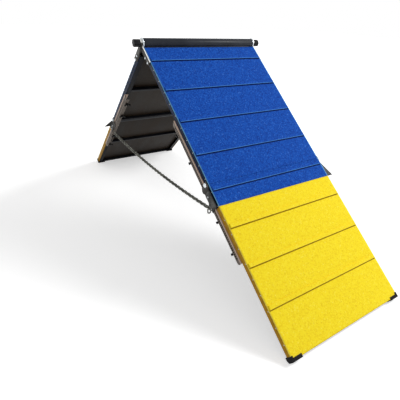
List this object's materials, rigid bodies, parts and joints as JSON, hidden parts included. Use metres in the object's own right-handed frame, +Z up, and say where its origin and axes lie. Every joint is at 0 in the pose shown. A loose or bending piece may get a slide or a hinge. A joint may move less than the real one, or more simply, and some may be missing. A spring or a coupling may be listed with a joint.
{
  "type": "agility a frame",
  "caption": "Dog agility A-frame: two slatted, rubber-faced ramps hinged at a ridge tube and held by side chains; each ramp is two panels joined by splice rails.",
  "frame": {"origin": "on the ground, under the middle of the ridge", "axes": "+X towards the front ramp's foot, +Y along the ridge to the right side, +Z up"},
  "size_m": [4.1732, 1.24, 1.7553],
  "materials": {
    "film_faced_plywood": "dark film-faced plywood, satin",
    "yellow_rubber": "matt rubber granules bound with paint",
    "blue_rubber": "matt rubber granules bound with paint",
    "black_steel": "blue-black enamel, satin",
    "yellow_edge": "yellow painted edge strip",
    "blue_edge": "dark blue painted edge strip",
    "zinc_steel": "zinc plated, dull",
    "grey_steel": "dark grey enamel, satin",
    "chain_steel": "dull welded chain steel",
    "knob_plastic": "moulded black plastic",
    "foot_rubber": "moulded black rubber"
  },
  "bodies": {
    "front_upper": {"front_upper_deck": "film_faced_plywood", "front_upper_surface": "blue_rubber", "front_upper_slats": "blue_rubber", "front_upper_frame": "black_steel", "front_upper_edge_strips": "blue_edge", "front_rails": "zinc_steel", "front_hinge_arms": "zinc_steel", "front_bolts": "zinc_steel", "front_side_wings": "grey_steel", "front_chain_eyes": "zinc_steel", "ridge_tube": "grey_steel", "ridge_axle": "zinc_steel", "left_chain": "chain_steel", "right_chain": "chain_steel"},
    "front_lower": {"front_lower_deck": "film_faced_plywood", "front_lower_surface": "blue_rubber", "front_lower_slat": "blue_rubber", "front_contact_surface": "yellow_rubber", "front_contact_slats": "yellow_rubber", "front_lower_frame": "black_steel", "front_lower_edge_strips": "blue_edge", "front_contact_edge_strips": "yellow_edge", "front_feet": "foot_rubber"},
    "rear_upper": {"rear_upper_deck": "film_faced_plywood", "rear_upper_surface": "blue_rubber", "rear_upper_slats": "blue_rubber", "rear_upper_frame": "black_steel", "rear_upper_edge_strips": "blue_edge", "rear_rails": "zinc_steel", "rear_hinge_arms": "zinc_steel", "rear_bolts": "zinc_steel", "rear_side_wings": "grey_steel", "rear_chain_eyes": "zinc_steel"},
    "rear_lower": {"rear_lower_deck": "film_faced_plywood", "rear_lower_surface": "blue_rubber", "rear_lower_slat": "blue_rubber", "rear_contact_surface": "yellow_rubber", "rear_contact_slats": "yellow_rubber", "rear_lower_frame": "black_steel", "rear_lower_edge_strips": "blue_edge", "rear_contact_edge_strips": "yellow_edge", "rear_feet": "foot_rubber"},
    "front_left_wing_knob_1": {"front_left_wing_knob_1": "knob_plastic"},
    "front_left_wing_knob_2": {"front_left_wing_knob_2": "knob_plastic"},
    "front_left_wing_knob_3": {"front_left_wing_knob_3": "knob_plastic"},
    "front_left_wing_knob_4": {"front_left_wing_knob_4": "knob_plastic"},
    "front_right_wing_knob_1": {"front_right_wing_knob_1": "knob_plastic"},
    "front_right_wing_knob_2": {"front_right_wing_knob_2": "knob_plastic"},
    "front_right_wing_knob_3": {"front_right_wing_knob_3": "knob_plastic"},
    "front_right_wing_knob_4": {"front_right_wing_knob_4": "knob_plastic"},
    "rear_left_wing_knob_1": {"rear_left_wing_knob_1": "knob_plastic"},
    "rear_left_wing_knob_2": {"rear_left_wing_knob_2": "knob_plastic"},
    "rear_left_wing_knob_3": {"rear_left_wing_knob_3": "knob_plastic"},
    "rear_left_wing_knob_4": {"rear_left_wing_knob_4": "knob_plastic"},
    "rear_right_wing_knob_1": {"rear_right_wing_knob_1": "knob_plastic"},
    "rear_right_wing_knob_2": {"rear_right_wing_knob_2": "knob_plastic"},
    "rear_right_wing_knob_3": {"rear_right_wing_knob_3": "knob_plastic"},
    "rear_right_wing_knob_4": {"rear_right_wing_knob_4": "knob_plastic"},
    "left_ridge_knob": {"left_ridge_knob": "knob_plastic"},
    "right_ridge_knob": {"right_ridge_knob": "knob_plastic"}
  },
  "joints": [
    {"name": "ridge_hinge", "type": "hinge", "parent": "front_upper", "child": "rear_upper", "pos_m": [0, 0, 1.71228], "axis": [0, -1, 0], "range_deg": [0, 52], "deforming": ["left_chain", "right_chain"]},
    {"name": "front_panel_slide", "type": "slide", "parent": "front_upper", "child": "front_lower", "axis": [0.7793, 0, -0.6266], "range_m": [0, 0.33]},
    {"name": "front_left_wing_knob_1_turn", "type": "hinge", "parent": "front_lower", "child": "front_left_wing_knob_1", "pos_m": [1.39563, -0.531, 0.46056], "axis": [-0.6266, 0, -0.7793], "continuous": true},
    {"name": "front_left_wing_knob_2_turn", "type": "hinge", "parent": "front_lower", "child": "front_left_wing_knob_2", "pos_m": [1.19534, -0.531, 0.6216], "axis": [-0.6266, 0, -0.7793], "continuous": true},
    {"name": "front_left_wing_knob_3_turn", "type": "hinge", "parent": "front_upper", "child": "front_left_wing_knob_3", "pos_m": [0.79321, -0.531, 0.94493], "axis": [-0.6266, 0, -0.7793], "continuous": true},
    {"name": "front_left_wing_knob_4_turn", "type": "hinge", "parent": "front_upper", "child": "front_left_wing_knob_4", "pos_m": [0.59292, -0.531, 1.10596], "axis": [-0.6266, 0, -0.7793], "continuous": true},
    {"name": "front_right_wing_knob_1_turn", "type": "hinge", "parent": "front_lower", "child": "front_right_wing_knob_1", "pos_m": [1.39563, 0.531, 0.46056], "axis": [-0.6266, 0, -0.7793], "continuous": true},
    {"name": "front_right_wing_knob_2_turn", "type": "hinge", "parent": "front_lower", "child": "front_right_wing_knob_2", "pos_m": [1.19534, 0.531, 0.6216], "axis": [-0.6266, 0, -0.7793], "continuous": true},
    {"name": "front_right_wing_knob_3_turn", "type": "hinge", "parent": "front_upper", "child": "front_right_wing_knob_3", "pos_m": [0.79321, 0.531, 0.94493], "axis": [-0.6266, 0, -0.7793], "continuous": true},
    {"name": "front_right_wing_knob_4_turn", "type": "hinge", "parent": "front_upper", "child": "front_right_wing_knob_4", "pos_m": [0.59292, 0.531, 1.10596], "axis": [-0.6266, 0, -0.7793], "continuous": true},
    {"name": "rear_panel_slide", "type": "slide", "parent": "rear_upper", "child": "rear_lower", "axis": [-0.7793, 0, -0.6266], "range_m": [0, 0.33]},
    {"name": "rear_left_wing_knob_1_turn", "type": "hinge", "parent": "rear_lower", "child": "rear_left_wing_knob_1", "pos_m": [-1.39563, -0.531, 0.46056], "axis": [0.6266, 0, -0.7793], "continuous": true},
    {"name": "rear_left_wing_knob_2_turn", "type": "hinge", "parent": "rear_lower", "child": "rear_left_wing_knob_2", "pos_m": [-1.19534, -0.531, 0.6216], "axis": [0.6266, 0, -0.7793], "continuous": true},
    {"name": "rear_left_wing_knob_3_turn", "type": "hinge", "parent": "rear_upper", "child": "rear_left_wing_knob_3", "pos_m": [-0.79321, -0.531, 0.94493], "axis": [0.6266, 0, -0.7793], "continuous": true},
    {"name": "rear_left_wing_knob_4_turn", "type": "hinge", "parent": "rear_upper", "child": "rear_left_wing_knob_4", "pos_m": [-0.59292, -0.531, 1.10596], "axis": [0.6266, 0, -0.7793], "continuous": true},
    {"name": "rear_right_wing_knob_1_turn", "type": "hinge", "parent": "rear_lower", "child": "rear_right_wing_knob_1", "pos_m": [-1.39563, 0.531, 0.46056], "axis": [0.6266, 0, -0.7793], "continuous": true},
    {"name": "rear_right_wing_knob_2_turn", "type": "hinge", "parent": "rear_lower", "child": "rear_right_wing_knob_2", "pos_m": [-1.19534, 0.531, 0.6216], "axis": [0.6266, 0, -0.7793], "continuous": true},
    {"name": "rear_right_wing_knob_3_turn", "type": "hinge", "parent": "rear_upper", "child": "rear_right_wing_knob_3", "pos_m": [-0.79321, 0.531, 0.94493], "axis": [0.6266, 0, -0.7793], "continuous": true},
    {"name": "rear_right_wing_knob_4_turn", "type": "hinge", "parent": "rear_upper", "child": "rear_right_wing_knob_4", "pos_m": [-0.59292, 0.531, 1.10596], "axis": [0.6266, 0, -0.7793], "continuous": true},
    {"name": "left_ridge_knob_turn", "type": "hinge", "parent": "front_upper", "child": "left_ridge_knob", "pos_m": [0, -0.5656, 1.71228], "axis": [0, -1, 0], "continuous": true},
    {"name": "right_ridge_knob_turn", "type": "hinge", "parent": "front_upper", "child": "right_ridge_knob", "pos_m": [0, 0.5656, 1.71228], "axis": [0, 1, 0], "continuous": true}
  ]
}
